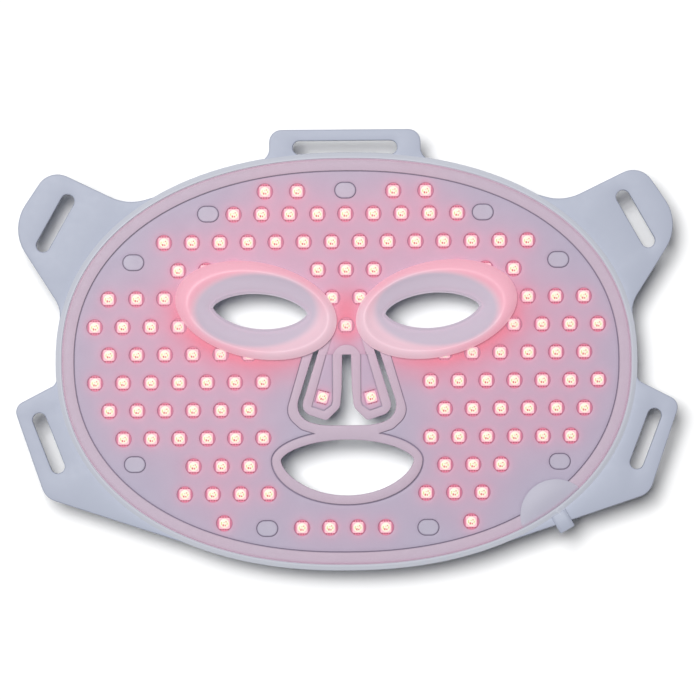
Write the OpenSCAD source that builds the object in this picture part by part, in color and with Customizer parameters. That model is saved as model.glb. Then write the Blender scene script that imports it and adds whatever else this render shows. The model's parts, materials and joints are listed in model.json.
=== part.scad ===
// A flexible face mask that shines light on the skin. It lies on its back: the face side is up (+Z),
// the forehead is towards +Y, and the wearer's left is towards -X.

/* [Mask] */
// Half width of the back cover's oval
oval_half_width = 132.2; // [128:0.2:136]
// Half height of the back cover's oval
oval_half_height = 95; // [92:0.5:98]
// Width of the raised silicone bead around the oval
bead_width = 2.9; // [2:0.1:3.5]
// Width of the bonded ledge between the bead and the circuit
ledge_width = 5.3; // [4:0.1:6.5]

/* [Layers] */
// Thickness of the back cover under the circuit
cover_floor = 1.2; // [0.8:0.1:2]
// Thickness of the flexible circuit
flex_thickness = 0.2; // [0.1:0.05:0.3]
// Thickness of the lilac reflector sheet
reflector_thickness = 1.3; // [0.8:0.1:1.4]
// Thickness of the clear pad that touches the skin
pad_thickness = 1.5; // [1:0.1:2]
// Thickness of the strap tabs
tab_thickness = 2.8; // [2.2:0.1:3.2]

/* [Lights] */
// Distance between neighbouring lights in a row
light_pitch = 12.7; // [12:0.1:13]
// Side of a square light package
light_side = 5; // [4.5:0.1:5.2]
// Height of a light package
light_height = 1.6; // [1.5:0.05:1.65]
// Diameter of the round window around a light
window_d = 7.5; // [7.4:0.1:8]

/* [Eyes and mouth] */
// Distance of each eye opening's centre from the middle
eye_x = 39.2; // [39:0.1:40]
// Height of the eye openings above the origin
eye_y = 18.2; // [17.5:0.1:19]
// Width of an eye opening
eye_width = 42.6; // [41:0.2:43.4]
// Height of the soft eye cup above the pad
cup_height = 7; // [4:0.5:9]
// Width of the mouth opening
mouth_width = 60.4; // [56:0.2:61]

/* [Straps] */
// Width of every strap slot
slot_width = 6.2; // [5.4:0.1:6.6]
// Length of the top strap slot
top_slot_length = 47.4; // [42:0.2:48]
// Length of the four corner strap slots
corner_slot_length = 29; // [26:0.5:30]

/* [Nose flaps] */
// Gap between a nose flap's round root and the mask
root_gap = 0.3; // [0.25:0.05:0.5]

/* [Hidden] */
$fn = 48;
oval_y = -5.2;
oval_power = 2.2;
join = 0.01;

flex_z = cover_floor;
board_z = flex_z + flex_thickness;
reflector_top = board_z + reflector_thickness;
pad_z = board_z + light_height + 0.1;
pad_top = pad_z + pad_thickness;

ledge_inset = bead_width + ledge_width;
seam = 0.2;
flex_margin = 4.3;

half_pitch = light_pitch / 2;
top_row_y = 61.9;

neck_wall = 1.2;
neck_gap = 0.3;
cup_lift = 0.1;
eye_tilt = 4.5;
eye_rise = 7.5;
eye_drop = 8.3;
mouth_y = -50;
mouth_rise = 9.3;
mouth_drop = 16.1;

root_y = -2;
root_r = pad_top / 2;
hinge_y = root_y - root_gap - root_r;
hinge_z = root_r;

// The tongue's arch over the nose, and how far out its two legs reach at the root line
arch_r = 6.5;
arch_y = -4;
leg_outer = 8.9;
leg_inner = sqrt(arch_r * arch_r - (root_y - arch_y) * (root_y - arch_y));

post_size = [9.6, 7.2];
right_posts = [[62.4, 62.2], [96.5, 40.4], [96.5, -51.3], [36.6, -80.8]];

// The cable inlet leaves the lower right of the rim.
inlet_at = [97.7, -78.6];
inlet_angle = -60;
inlet_out = 4.3;
inlet_width = 7.4;
inlet_root = 4.2;
inlet_z = 2.4;
plug_seat_r = 1.8;
plug_seat_depth = 2.5;
socket_size = [5.6, 4.4, 3.4];
socket_bore_r = 1.3;
contact_r = 0.35;
lead_width = 0.8;
lead_height = 0.6;
lead_overlap = 0.6;
lead_offset = 1.2;
lead_z = 1.8;
patch_at = [94.6, -75.6];
patch_r = 15.9;
patch_thickness = 0.3;
board_size = [5, 9.5, 0.6];
board_front = -13.6;
resistor_size = [1.6, 0.8, 0.5];

zones = ["forehead", "bridge", "cheek_left", "cheek_right", "chin"];

// Outlines

function unit(v) = v / norm(v);

// An arc that rounds the corner at b, between a and c
function corner(a, b, c, r, steps = 8) =
    let (
        u = unit(a - b),
        w = unit(c - b),
        half = acos(u * w) / 2,
        centre = b + unit(u + w) * r / sin(half),
        p = b + u * r / tan(half) - centre,
        q = b + w * r / tan(half) - centre,
        start = atan2(p.y, p.x),
        turn = atan2(q.y, q.x) - start,
        sweep = turn > 180 ? turn - 360 : (turn < -180 ? turn + 360 : turn)
    )
    [for (i = [0:steps]) centre + r * [cos(start + sweep * i / steps), sin(start + sweep * i / steps)]];

function xy(v) = [v.x, v.y];

// A closed path whose points are [x, y, corner radius]
function rounded(path) =
    let (n = len(path))
    [for (i = [0:n - 1])
        let (a = path[(i + n - 1) % n], b = path[i], c = path[(i + 1) % n])
        each (b[2] == 0 ? [xy(b)] : corner(xy(a), xy(b), xy(c), b[2]))];

function mirrored(path) = [for (i = [len(path) - 1:-1:0]) [-path[i].x, path[i].y, path[i][2]]];
function both_sides(path) = rounded(concat(path, mirrored(path)));

function power(value, exponent) = sign(value) * pow(abs(value), exponent);

function oval(inset = 0, steps = 144) =
    [for (i = [0:steps - 1]) let (angle = 360 * i / steps) [
        (oval_half_width - inset) * power(cos(angle), 2 / oval_power),
        oval_y + (oval_half_height - inset) * power(sin(angle), 2 / oval_power),
    ]];

// A pointed oval, such as an eye or a mouth
function almond(half_width, rise, drop, margin = 0, point = 1.35, steps = 64) =
    [for (i = [0:steps - 1]) let (angle = 360 * i / steps, s = sin(angle)) [
        (half_width + margin) * cos(angle),
        (s > 0 ? rise + margin : drop + margin) * power(s, point - min(0.3, margin / 20)),
    ]];

function turned(points, angle, at) =
    [for (p = points) at + [p.x * cos(angle) - p.y * sin(angle), p.x * sin(angle) + p.y * cos(angle)]];

function eye(margin = 0) =
    turned(almond(eye_width / 2, eye_rise, eye_drop, margin), eye_tilt, [eye_x, eye_y]);

module eyes(margin) {
    for (side = [0, 1]) mirror([side, 0]) polygon(eye(margin));
}

module mouth(margin = 0) {
    translate([0, mouth_y]) polygon(almond(mouth_width / 2, mouth_rise, mouth_drop, margin, 1.25));
}

module stadium(length, width) {
    square([length - width, width], center = true);
    for (end = [-1, 1]) translate([end * (length - width) / 2, 0]) circle(d = width);
}

module top_tab() {
    polygon(both_sides([[34.4, 100.2, 5.6], [34.4, 88, 6], [41.5, 84.6, 0], [34, 78, 0]]));
}

module upper_tab() {
    polygon(rounded([
        [82, 71.6, 0], [99, 66.6, 22], [134.2, 83.6, 10], [152.7, 56.4, 20], [129.9, 20.4, 14],
        [130.5, 6, 0], [90, 40, 0],
    ]));
}

module lower_tab() {
    polygon(rounded([
        [131.2, -2, 0], [132, -14.6, 4], [151.4, -24.6, 5], [137.2, -66.2, 9], [74, -87.1, 0], [74, -40, 0],
    ]));
}

module strap_slots() {
    translate([0, 92]) stadium(top_slot_length, slot_width);
    for (side = [0, 1]) mirror([side, 0]) {
        translate([131.8, 58.6]) rotate(-60.5) stadium(corner_slot_length, slot_width);
        translate([135.6, -41.3]) rotate(69) stadium(corner_slot_length, slot_width);
    }
}

// Half of the nose opening: the root line, the slit beside the flap, and the space under the tips
module nose_opening() {
    polygon(both_sides([
        [13.2, root_y, 0], [11.9, 2.6, 0.5], [14.5, 0.9, 1.2], [24.4, -30.2, 8], [12, -34.2, 30],
    ]));
}

module flap_outline() {
    polygon(rounded([
        [1.9, 2, 0], [13.35 - 1.35, 2, 0], [21.3, -28, 5], [9.2, -32, 2], [3.1, -26, 5], [2.3, -17, 0],
    ]));
}

// The flap's circuit and reflector stop short of its sealed edge.
module flap_core_outline(inset = 0) {
    polygon([
        [6.5 + inset, 2], [8 - inset, 2], [15.9 - inset, -25.5 + inset], [10.4, -27.4 + inset],
        [7.1 + inset, -25 + inset], [6.5 + inset, -23],
    ]);
}

// The circuit's narrow tongue between the eyes, which splits over the nose
module bridge_tongue() {
    difference() {
        polygon(both_sides([[5, 13, 0], [5.6, 9.2, 0], [leg_outer, root_y, 0]]));
        translate([0, arch_y]) circle(r = arch_r);
    }
}

module circuit_outline(inset = 0) {
    difference() {
        polygon(oval(ledge_inset + seam + inset));
        eyes(flex_margin + inset);
        mouth(flex_margin + inset);
        polygon(both_sides([
            [13, 9.5, 0], [20, -1.6, 4], [28.2, -29.5, 8], [21, -36.2, 5], [15, -38, 0], [0.5, -44, 0],
        ]));
        translate(patch_at) circle(r = patch_r + inset);
    }
    bridge_tongue();
}

module openings(eye_margin) {
    eyes(eye_margin);
    mouth();
    nose_opening();
}

// Where the lights are: each row has a height and the columns that it fills, counted in half pitches

function both(columns) = concat(columns, [for (c = columns) if (c != 0) -c]);
function every_other(first, last) = [for (c = [first:2:last]) c];
function light_row(row, columns) =
    [for (c = both(columns)) [c * half_pitch, top_row_y - row * light_pitch]];

forehead_lights = concat(
    [for (x = [-36.5, -21.8, 21.8, 36.5]) [x, 72.2]],
    light_row(0, every_other(0, 8)),
    light_row(1, every_other(1, 13)),
    light_row(2, [8, 10, 12])
);
bridge_lights = concat(light_row(2, [0, 2]), light_row(3, [1]), light_row(4, [0]));
cheek_lights = concat(
    light_row(3, every_other(11, 17)),
    light_row(4, every_other(10, 18)),
    light_row(5, every_other(7, 17)),
    light_row(6, every_other(6, 18)),
    light_row(7, every_other(7, 17)),
    light_row(8, every_other(6, 16)),
    light_row(9, every_other(7, 11))
);
chin_lights = concat(
    [for (x = [35.8, 48.5, 61.2], side = [-1, 1]) [side * x, -65.1]],
    [[-73.9, -65.1], [-56.1, -78.3], [56.1, -78.3]],
    [for (i = [0:3]) [-20.8 + i * light_pitch, -80.6]]
);
nose_light_at = [11, -21.4];
nose_light_turn = 15;

function zone_lights(zone) =
    zone == "forehead" ? forehead_lights
    : zone == "bridge" ? bridge_lights
    : zone == "cheek_left" ? [for (p = cheek_lights) if (p.x < 0) p]
    : zone == "cheek_right" ? [for (p = cheek_lights) if (p.x > 0) p]
    : chin_lights;

module at_lights(zone) {
    for (p = zone_lights(zone)) translate([p.x, p.y, board_z]) children();
}

well_d = 3.9;
well_depth = 0.7;
pad_lead = [0.55, 0.45, 0.25];
pad_lead_spacing = 1.15;

// A square package with a round well, and four solder leads on each of two sides
module light_body() {
    difference() {
        union() {
            linear_extrude(light_height) square(light_side, center = true);
            linear_extrude(pad_lead.z)
                for (i = [-1.5:1:1.5]) translate([i * pad_lead_spacing, 0])
                    square([pad_lead.x, light_side + 2 * pad_lead.y], center = true);
        }
        translate([0, 0, light_height - well_depth]) cylinder(d = well_d, h = light_height);
    }
}

module lens_body() {
    translate([0, 0, light_height - well_depth]) cylinder(d = well_d, h = well_depth - 0.1);
}

module lights(zone) {
    color("mistyrose") at_lights(zone) light_body();
}

module lenses(zone) {
    color("gold") at_lights(zone) lens_body();
}

// Main layers

module back_cover() {
    color([0.72, 0.77, 0.84]) difference() {
        union() {
            linear_extrude(tab_thickness) difference() {
                union() {
                    polygon(oval());
                    top_tab();
                    for (side = [0, 1]) mirror([side, 0]) {
                        upper_tab();
                        lower_tab();
                    }
                }
                strap_slots();
            }
            linear_extrude(pad_top) polygon(oval());
            inlet_boss();
        }
        translate([0, 0, pad_z]) linear_extrude(pad_top) polygon(oval(bead_width));
        translate([0, 0, cover_floor]) linear_extrude(pad_top) difference() {
            polygon(oval(ledge_inset));
            eyes(flex_margin - 0.3);
            mouth(flex_margin - 0.3);
            nose_seal();
        }
        translate([0, 0, -join]) linear_extrude(pad_top + 1) openings(neck_wall + neck_gap);
        inlet_pocket();
    }
}

// The back cover's raised edge around the nose opening, where the pad is bonded to it
module nose_seal() {
    difference() {
        polygon(both_sides([
            [12.8, 9.2, 0], [19.7, -1.7, 4], [27.9, -29.4, 8], [20.8, -35.9, 5], [14.8, -37.8, 0],
            [0.5, -43.6, 0],
        ]));
        bridge_tongue();
        for (side = [-1, 1]) translate([side * (leg_outer + leg_inner) / 2, root_y])
            square([leg_outer - leg_inner, 2], center = true);
    }
}

module flex_circuit() {
    color("darkorange") translate([0, 0, flex_z]) linear_extrude(flex_thickness) difference() {
        circuit_outline();
        posts(0.2);
    }
}

module windows() {
    for (zone = zones, p = zone_lights(zone)) translate(p) circle(d = window_d);
}

module reflector_sheet() {
    color([0.73, 0.7, 0.8]) translate([0, 0, board_z]) linear_extrude(reflector_thickness) difference() {
        circuit_outline(0.3);
        windows();
        posts(0.2);
    }
}

module posts(gap = 0) {
    translate([0, 72.6]) stadium(post_size.x + 2 * gap, post_size.y + 2 * gap);
    for (side = [0, 1], p = right_posts) mirror([side, 0]) translate(p)
        stadium(post_size.x + 2 * gap, post_size.y + 2 * gap);
}

module bonding_posts() {
    color([0.78, 0.76, 0.86]) translate([0, 0, cover_floor]) linear_extrude(pad_z - cover_floor) posts();
}

module face_pad() {
    color([0.93, 0.78, 0.86]) difference() {
        translate([0, 0, pad_z]) linear_extrude(pad_thickness) difference() {
            polygon(oval(bead_width + 0.1));
            openings(neck_wall + neck_gap);
        }
        translate([patch_at.x, patch_at.y, pad_z - join]) cylinder(r = patch_r + 0.1, h = patch_thickness);
    }
}

// Eye cups

cup_centre = [41, 18.3];
cup_half = [37.4, 21.9];
cup_tilt = 12;
bowl_centre = [39.6, 17.4];
bowl_half = [30.3, 16.5];
bowl_tilt = 8;
cup_steps = 64;
rim_steps = 8;
bowl_steps = 4;

function ellipse(centre, half, tilt) =
    turned([for (i = [0:cup_steps - 1]) let (angle = 360 * i / cup_steps)
        [half.x * cos(angle), half.y * sin(angle)]], tilt, centre);
function between(a, b, share) = [for (i = [0:len(a) - 1]) a[i] + (b[i] - a[i]) * share];
function raised(points, z) = [for (p = points) [p.x, p.y, z]];

cup_outer = ellipse(cup_centre, cup_half, cup_tilt);
cup_bowl = ellipse(bowl_centre, bowl_half, bowl_tilt);
cup_foot_z = pad_top + cup_lift;
bowl_z = cup_foot_z + cup_height * 0.55;
lip_z = cup_foot_z + 0.9;

// The rim's round back, the bowl down to the opening, and the neck through the mask
cup_rings = concat(
    [for (i = [0:rim_steps]) let (angle = 180 * i / rim_steps, share = (1 - cos(angle)) / 2)
        raised(between(cup_outer, cup_bowl, share),
            cup_foot_z + (bowl_z - cup_foot_z) * share + (cup_height - 2.6) * pow(sin(angle), 0.7))],
    [for (i = [1:bowl_steps]) let (share = i / bowl_steps)
        raised(between(cup_bowl, eye(), share), bowl_z + (lip_z - bowl_z) * (1 - pow(1 - share, 1.5)))],
    [raised(eye(), 0), raised(eye(neck_wall), 0), raised(eye(neck_wall), cup_foot_z)]
);

module cup() {
    rings = len(cup_rings);
    faces = [for (r = [0:rings - 1], i = [0:cup_steps - 1])
        let (s = (r + 1) % rings, j = (i + 1) % cup_steps)
        each [
            [r * cup_steps + i, r * cup_steps + j, s * cup_steps + j],
            [r * cup_steps + i, s * cup_steps + j, s * cup_steps + i],
        ]];
    polyhedron(points = [for (ring = cup_rings) each ring], faces = faces, convexity = 6);
}

module eye_cup_right() {
    color([0.96, 0.75, 0.82]) cup();
}

module eye_cup_left() {
    color([0.96, 0.75, 0.82]) mirror([1, 0, 0]) cup();
}

// Nose flaps: the same four layers, ended by a round root that turns on the hinge line

module on_flap(side) {
    mirror([side < 0 ? 1 : 0, 0, 0]) intersection() {
        children();
        union() {
            translate([-5, hinge_y - 40, -1]) cube([40, 40, pad_top + 2]);
            translate([-5, hinge_y, hinge_z]) rotate([0, 90, 0]) cylinder(r = root_r, h = 40);
        }
    }
}

module flap_cover(side) {
    color([0.72, 0.77, 0.84]) on_flap(side) difference() {
        linear_extrude(pad_z) flap_outline();
        translate([0, 0, cover_floor]) linear_extrude(pad_top) flap_core_outline(-0.2);
    }
}

module flap_circuit(side) {
    color("darkorange") on_flap(side)
        translate([0, 0, flex_z]) linear_extrude(flex_thickness) flap_core_outline();
}

module flap_reflector(side) {
    color([0.73, 0.7, 0.8]) on_flap(side)
        translate([0, 0, board_z]) linear_extrude(reflector_thickness) difference() {
            flap_core_outline(0.15);
            translate(nose_light_at) rotate(nose_light_turn) square(light_side + 1.2, center = true);
        }
}

module flap_pad(side) {
    color([0.93, 0.78, 0.86]) on_flap(side)
        translate([0, 0, pad_z]) linear_extrude(pad_thickness) flap_outline();
}

module at_nose_light(side) {
    mirror([side < 0 ? 1 : 0, 0, 0])
        translate([nose_light_at.x, nose_light_at.y, board_z]) rotate(nose_light_turn) children();
}

module nose_light(side) {
    color("mistyrose") at_nose_light(side) light_body();
}

module nose_lens(side) {
    color("gold") at_nose_light(side) lens_body();
}

// Cable inlet: local +X points out of the mask along the inlet

module at_inlet(z = 0) {
    translate([inlet_at.x, inlet_at.y, z]) rotate(inlet_angle) children();
}

module inlet_boss() {
    at_inlet() linear_extrude(pad_top + 0.2)
        polygon(rounded([
            [-inlet_root, -inlet_width / 2, 0], [inlet_out, -inlet_width / 2, 0.6],
            [inlet_out, inlet_width / 2, 0.6], [-inlet_root, inlet_width / 2, 0],
        ]));
}

// The plug's seat, the socket's pocket, and two channels for the leads under the pad
module inlet_pocket() {
    socket_at() {
        translate([socket_size.x - join, 0, 0]) rotate([0, 90, 0]) cylinder(r = plug_seat_r, h = 10);
        translate([-0.1, -socket_size.y / 2 - 0.1, -socket_size.z / 2 - 0.1])
            cube(socket_size + [0.1, 0.2, 0.2]);
    }
    inlet_lead_pair(0.15);
}

module socket_at() {
    at_inlet(inlet_z) translate([inlet_out - plug_seat_depth - socket_size.x, 0, 0]) children();
}

module inlet_lead_pair(gap) {
    start = board_front - lead_overlap;
    end = inlet_out - plug_seat_depth - socket_size.x;
    at_inlet(lead_z) for (side = [-1, 1])
        translate([start - gap, side * lead_offset - lead_width / 2 - gap, -gap])
            cube([end - start + gap, lead_width + 2 * gap, lead_height + 2 * gap]);
}

module inlet_socket() {
    color([0.15, 0.15, 0.17]) socket_at() difference() {
        translate([0, -socket_size.y / 2, -socket_size.z / 2]) cube(socket_size);
        translate([1.2, 0, 0]) rotate([0, 90, 0]) cylinder(r = socket_bore_r, h = socket_size.x);
        translate([-1, 0, 0]) rotate([0, 90, 0]) cylinder(r = contact_r, h = 3);
        translate([1.6, -0.5, 1]) cube([3.2, 1, 0.5]);
    }
}

module inlet_contact() {
    color("gold") socket_at() rotate([0, 90, 0]) cylinder(r = contact_r, h = socket_size.x - 0.6);
}

module inlet_spring() {
    color("silver") socket_at() translate([1.7, -0.4, 1.3]) cube([3, 0.8, 0.2]);
}

module inlet_leads() {
    color("firebrick") inlet_lead_pair(0);
}

module junction_board() {
    color([0.85, 0.87, 0.9]) at_inlet(cover_floor)
        translate([board_front - board_size.x, -board_size.y / 2, 0]) cube(board_size);
}

module junction_resistors() {
    color([0.2, 0.2, 0.22]) at_inlet(cover_floor + board_size.z) for (i = [-2:2])
        translate([board_front - board_size.x + 0.5, i * 1.8 - resistor_size.y / 2, 0])
            cube(resistor_size);
}

module junction_connector() {
    color([0.9, 0.88, 0.8]) at_inlet(cover_floor + board_size.z)
        translate([board_front - 2.4, -2.6, 0]) cube([1.2, 5.2, 0.9]);
}

module inlet_patch() {
    color([0.8, 0.79, 0.87]) intersection() {
        translate([patch_at.x, patch_at.y, pad_z]) cylinder(r = patch_r, h = patch_thickness - 0.05);
        linear_extrude(pad_top) polygon(oval(bead_width + 0.3));
    }
}

back_cover();
flex_circuit();
reflector_sheet();
face_pad();
bonding_posts();
lights("forehead");  // lights_forehead
lights("bridge");  // lights_bridge
lights("cheek_left");  // lights_cheek_left
lights("cheek_right");  // lights_cheek_right
lights("chin");  // lights_chin
lenses("forehead");  // lenses_forehead
lenses("bridge");  // lenses_bridge
lenses("cheek_left");  // lenses_cheek_left
lenses("cheek_right");  // lenses_cheek_right
lenses("chin");  // lenses_chin
eye_cup_left();
eye_cup_right();
flap_cover(-1);  // nose_flap_cover_left
flap_circuit(-1);  // nose_flap_circuit_left
flap_reflector(-1);  // nose_flap_reflector_left
flap_pad(-1);  // nose_flap_pad_left
nose_light(-1);  // nose_light_left
nose_lens(-1);  // nose_lens_left
flap_cover(1);  // nose_flap_cover_right
flap_circuit(1);  // nose_flap_circuit_right
flap_reflector(1);  // nose_flap_reflector_right
flap_pad(1);  // nose_flap_pad_right
nose_light(1);  // nose_light_right
nose_lens(1);  // nose_lens_right
inlet_patch();
junction_board();
junction_resistors();
junction_connector();
inlet_socket();
inlet_contact();
inlet_spring();
inlet_leads();
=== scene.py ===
"""The looks of the face mask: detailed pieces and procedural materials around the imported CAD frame.

Lengths here are in millimetres and mesh() turns them into metres. Outlines are slices of the CAD nodes.
"""

import json
import math

import bmesh
import bpy
import numpy as np
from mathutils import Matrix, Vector, kdtree
from mathutils.geometry import delaunay_2d_cdt


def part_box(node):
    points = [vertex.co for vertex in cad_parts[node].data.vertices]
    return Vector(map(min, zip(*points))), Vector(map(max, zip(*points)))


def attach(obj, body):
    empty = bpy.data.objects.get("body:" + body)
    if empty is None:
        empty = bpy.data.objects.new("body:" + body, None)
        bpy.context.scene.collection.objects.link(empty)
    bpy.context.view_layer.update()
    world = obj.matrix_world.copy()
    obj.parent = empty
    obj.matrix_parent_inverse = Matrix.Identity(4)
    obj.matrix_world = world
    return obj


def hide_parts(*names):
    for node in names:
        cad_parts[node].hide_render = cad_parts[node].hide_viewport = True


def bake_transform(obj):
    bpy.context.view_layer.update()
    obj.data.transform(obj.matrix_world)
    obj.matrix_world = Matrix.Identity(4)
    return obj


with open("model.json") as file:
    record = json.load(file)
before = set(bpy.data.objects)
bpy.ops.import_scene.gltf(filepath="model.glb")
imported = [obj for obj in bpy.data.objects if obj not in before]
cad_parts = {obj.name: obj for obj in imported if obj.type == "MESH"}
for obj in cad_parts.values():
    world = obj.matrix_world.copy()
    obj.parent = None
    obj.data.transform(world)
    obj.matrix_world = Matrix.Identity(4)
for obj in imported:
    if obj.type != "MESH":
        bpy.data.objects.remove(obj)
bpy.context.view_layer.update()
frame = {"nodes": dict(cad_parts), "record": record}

METRE = 1000.0
ROLL = math.radians(0.45)

# Layer heights, read from the CAD nodes
LOW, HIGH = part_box("flex_circuit")
FLOOR_TOP = LOW.z * METRE
BOARD_TOP = HIGH.z * METRE
PAD_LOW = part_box("face_pad")[0].z * METRE
PAD_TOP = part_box("face_pad")[1].z * METRE
SHEET_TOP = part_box("reflector_sheet")[1].z * METRE
LIGHT_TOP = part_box("lights_bridge")[1].z * METRE
ROOT_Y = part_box("nose_flap_cover_left")[1].y * METRE + 0.3
TAB_TOP = 2.8
ZONES = ["forehead", "bridge", "cheek_left", "cheek_right", "chin"]


# Outlines


def node_arrays(node):
    """A CAD node's vertices, in millimetres, and its triangles."""
    data = frame["nodes"][node].data
    data.calc_loop_triangles()
    points = np.empty(len(data.vertices) * 3)
    data.vertices.foreach_get("co", points)
    triangles = np.empty(len(data.loop_triangles) * 3, np.int32)
    data.loop_triangles.foreach_get("vertices", triangles)
    return points.reshape(-1, 3) * METRE, triangles.reshape(-1, 3)


def signed_area(loop):
    """Positive for an outline that runs counter-clockwise."""
    x, y = loop[:, 0], loop[:, 1]
    return 0.5 * float(np.sum(x * np.roll(y, -1) - np.roll(x, -1) * y))


def inside(point, loop):
    """Counts how often a line from the point to the right crosses the outline."""
    a, b = loop, np.roll(loop, -1, axis=0)
    crosses = (a[:, 1] > point[1]) != (b[:, 1] > point[1])
    a, b = a[crosses], b[crosses]
    at = a[:, 0] + (point[1] - a[:, 1]) / (b[:, 1] - a[:, 1]) * (b[:, 0] - a[:, 0])
    return int(np.sum(at > point[0])) % 2 == 1


def biggest(loops):
    return max(loops, key=lambda loop: abs(signed_area(loop)))


def resampled(loop, step):
    """The same outline with points about a step apart, and every sharp corner kept."""
    ahead = np.roll(loop, -1, axis=0) - loop
    lengths = np.linalg.norm(ahead, axis=1)
    way = ahead / np.maximum(lengths, 1e-9)[:, None]
    sharp = np.sum(way * np.roll(way, 1, axis=0), axis=1) < 0.9
    kept = []
    for i, point in enumerate(loop):
        if kept and not sharp[i] and math.dist(kept[-1], point) < 0.6 * step:
            continue
        if kept and math.dist(kept[-1], point) < 0.05:
            continue
        if kept:
            pieces = max(1, int(round(math.dist(kept[-1], point) / step)))
            kept += [kept[-1] + (point - kept[-1]) * k / pieces for k in range(1, pieces)]
        kept.append(point)
    pieces = max(1, int(round(math.dist(kept[-1], kept[0]) / step)))
    kept += [kept[-1] + (kept[0] - kept[-1]) * k / pieces for k in range(1, pieces)]
    return np.array(kept)


def slice_loops(node, z, step=0.7):
    """The closed outlines in which a level plane cuts a CAD node, with the material on their left."""
    points, triangles = node_arrays(node)
    points, same = np.unique(points, axis=0, return_inverse=True)
    triangles = same.reshape(-1)[triangles]
    onward, places = {}, {}
    for triangle in triangles:
        above = points[triangle, 2] > z
        if above.all() or not above.any():
            continue
        crossing = {}
        for k in range(3):
            if above[k] != above[(k + 1) % 3]:
                key = tuple(sorted((int(triangle[k]), int(triangle[(k + 1) % 3]))))
                low, high = points[key[0]], points[key[1]]
                places[key] = (low + (high - low) * (z - low[2]) / (high[2] - low[2]))[:2]
                crossing[bool(above[k])] = key
        start, end = crossing[True], crossing[False]
        if start in onward.get(end, []):
            onward[end].remove(start)  # two solids touch here
        else:
            onward.setdefault(start, []).append(end)
    loops = []
    for start in sorted(onward):
        while onward[start]:
            loop, key = [], start
            while onward.get(key):
                loop.append(places[key])
                key = onward[key].pop()
            loops.append(resampled(np.array(loop), step))
    return [loop for loop in loops if len(loop) > 5]


def outward(loop):
    """Unit normals that point out of the material."""
    ahead = np.roll(loop, -1, axis=0) - np.roll(loop, 1, axis=0)
    normal = np.stack([ahead[:, 1], -ahead[:, 0]], axis=1)
    return normal / np.maximum(np.linalg.norm(normal, axis=1, keepdims=True), 1e-9)


def edge_tree(loops):
    """Finds the outline point that is nearest to a place."""
    tree = kdtree.KDTree(sum(len(loop) for loop in loops))
    for i, p in enumerate(np.vstack(loops)):
        tree.insert((p[0], p[1], 0), i)
    tree.balance()
    return tree


def ring_distance(points, loops):
    """How far each point is from the outlines, seen from above."""
    edge = edge_tree(loops)
    return np.array([edge.find((x, y, 0))[2] for x, y in points[:, :2]])


def grid_points(loops, step):
    """Points of a level grid that lie in the material, clear of its edges."""
    if not step:
        return []
    edge = edge_tree(loops)
    starts = np.vstack(loops)
    ends = np.vstack([np.roll(loop, -1, axis=0) for loop in loops])
    low, high = starts.min(0), starts.max(0)
    result = []
    for row, y in enumerate(np.arange(low[1] + step / 2, high[1], step * 0.87)):
        crosses = (starts[:, 1] > y) != (ends[:, 1] > y)
        a, b = starts[crosses], ends[crosses]
        cuts = np.sort(a[:, 0] + (y - a[:, 1]) / (b[:, 1] - a[:, 1]) * (b[:, 0] - a[:, 0]))
        shift = step / 2 * (row % 2)
        for left, right in zip(cuts[::2], cuts[1::2]):
            first = math.ceil((left - low[0] - shift) / step)
            for k in range(first, int((right - low[0] - shift) / step) + 1):
                x = low[0] + shift + k * step
                if edge.find((x, y, 0))[2] > 0.5 * step:
                    result.append((x, y))
    return result


# Meshes


def mesh(name, vertices, faces, materials, face_materials=None):
    """A smooth-shaded object from vertices in millimetres."""
    data = bpy.data.meshes.new(name)
    data.from_pydata([Vector(v) / METRE for v in vertices], [], faces)
    data.validate()
    for m in materials:
        data.materials.append(m)
    if face_materials is not None:
        data.polygons.foreach_set("material_index", face_materials)
    data.polygons.foreach_set("use_smooth", [True] * len(data.polygons))
    obj = bpy.data.objects.new(name, data)
    bpy.context.scene.collection.objects.link(obj)
    return obj


def smooth_by_angle(obj, degrees=35):
    """Keeps an edge sharp where it is bent more than this."""
    data = obj.data
    work = bmesh.new()
    work.from_mesh(data)
    for edge in work.edges:
        if len(edge.link_faces) == 2:
            edge.smooth = edge.calc_face_angle() < math.radians(degrees)
    work.to_mesh(data)
    work.free()


def rounded_profile(low, high, low_r, high_r, steps=4):
    """How far in from the outline, and how high, each ring of a slab's side is."""
    rings = []
    for i in range(steps + 1):
        angle = math.pi / 2 * i / steps
        rings.append((low_r * (1 - math.sin(angle)), low + low_r * (1 - math.cos(angle))))
    for i in range(steps + 1):
        angle = math.pi / 2 * i / steps
        rings.append((high_r * (1 - math.cos(angle)), high - high_r * (1 - math.sin(angle))))
    kept = [rings[0]]
    for ring in rings[1:]:
        if math.dist(ring, kept[-1]) > 1e-6:
            kept.append(ring)
    return kept


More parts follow.
